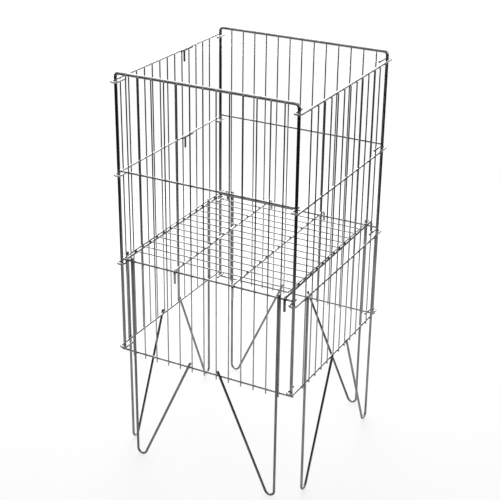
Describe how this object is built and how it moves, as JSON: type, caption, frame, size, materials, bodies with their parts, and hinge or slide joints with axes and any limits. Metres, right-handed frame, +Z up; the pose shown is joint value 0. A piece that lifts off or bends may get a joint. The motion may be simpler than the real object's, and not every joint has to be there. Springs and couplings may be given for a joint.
{
  "type": "retail dump bin",
  "caption": "Tall square bin of plated steel wire on hairpin legs, four hooked panels round a hanging wire shelf, open at the top for loose goods.",
  "frame": {"origin": "on the floor, under the middle of the bin", "axes": "+Z up, +Y from the front panel to the back panel, +X to the right seen from the front"},
  "size_m": [0.3948, 0.403, 0.8],
  "materials": {
    "plated_rod": "bright zinc plated steel rod",
    "plated_rail": "bright zinc plated steel wire",
    "plated_thin_wire": "bright zinc plated thin steel wire",
    "plated_shelf_wire": "bright zinc plated steel wire"
  },
  "bodies": {
    "front_panel": {"front_bottom_rail": "plated_rail", "front_frame": "plated_rod", "front_leg_left": "plated_rod", "front_leg_right": "plated_rod", "front_mid_rail": "plated_rail", "front_shelf_rail": "plated_rail", "front_wires": "plated_thin_wire"},
    "back_panel": {"back_bottom_rail": "plated_rail", "back_frame": "plated_rod", "back_leg_left": "plated_rod", "back_leg_right": "plated_rod", "back_mid_rail": "plated_rail", "back_shelf_rail": "plated_rail", "back_wires": "plated_thin_wire"},
    "right_panel": {"right_bottom_rail": "plated_rail", "right_leg_front": "plated_rod", "right_leg_rear": "plated_rod", "right_mid_rail": "plated_rail", "right_shelf_rail": "plated_rail", "right_top_rail": "plated_rail", "right_wires": "plated_thin_wire"},
    "left_panel": {"left_bottom_rail": "plated_rail", "left_leg_front": "plated_rod", "left_leg_rear": "plated_rod", "left_mid_rail_front": "plated_rail", "left_mid_rail_rear": "plated_rail", "left_mid_rail_splice": "plated_rail", "left_shelf_rail": "plated_rail", "left_top_rail_front": "plated_rail", "left_top_rail_rear": "plated_rail", "left_top_rail_splice": "plated_rail", "left_wires": "plated_thin_wire"},
    "shelf": {"shelf_cross_wire_01": "plated_shelf_wire", "shelf_cross_wire_02": "plated_shelf_wire", "shelf_cross_wire_03": "plated_shelf_wire", "shelf_cross_wire_04": "plated_shelf_wire", "shelf_cross_wire_05": "plated_shelf_wire", "shelf_cross_wire_06": "plated_shelf_wire", "shelf_cross_wire_07": "plated_shelf_wire", "shelf_cross_wire_08": "plated_shelf_wire", "shelf_cross_wire_09": "plated_shelf_wire", "shelf_cross_wire_10": "plated_shelf_wire", "shelf_cross_wire_11": "plated_shelf_wire", "shelf_cross_wire_12": "plated_shelf_wire", "shelf_cross_wire_13": "plated_shelf_wire", "shelf_cross_wire_14": "plated_shelf_wire", "shelf_edge_wire_left": "plated_shelf_wire", "shelf_edge_wire_right": "plated_shelf_wire", "shelf_hook_wire_1": "plated_shelf_wire", "shelf_hook_wire_2": "plated_shelf_wire", "shelf_hook_wire_3": "plated_shelf_wire", "shelf_hook_wire_4": "plated_shelf_wire"}
  },
  "joints": [
    {"name": "right_corner_fold", "type": "hinge", "parent": "front_panel", "child": "right_panel", "pos_m": [0.184, -0.191, 0.5], "axis": [0, 0, 1], "range_deg": [-0.6, 0.6]},
    {"name": "back_corner_fold", "type": "hinge", "parent": "right_panel", "child": "back_panel", "pos_m": [0.184, 0.191, 0.5], "axis": [0, 0, 1], "range_deg": [-0.6, 0.6]},
    {"name": "left_corner_fold", "type": "hinge", "parent": "front_panel", "child": "left_panel", "pos_m": [-0.184, -0.191, 0.5], "axis": [0, 0, 1], "range_deg": [-0.6, 0.6]},
    {"name": "shelf_tilt", "type": "hinge", "parent": "front_panel", "child": "shelf", "pos_m": [0, -0.192, 0.43], "axis": [1, 0, 0], "range_deg": [0, 70]}
  ],
  "couplings": [
    {"joint": "back_corner_fold", "follows": "right_corner_fold", "ratio": -1},
    {"joint": "left_corner_fold", "follows": "right_corner_fold", "ratio": 1}
  ]
}
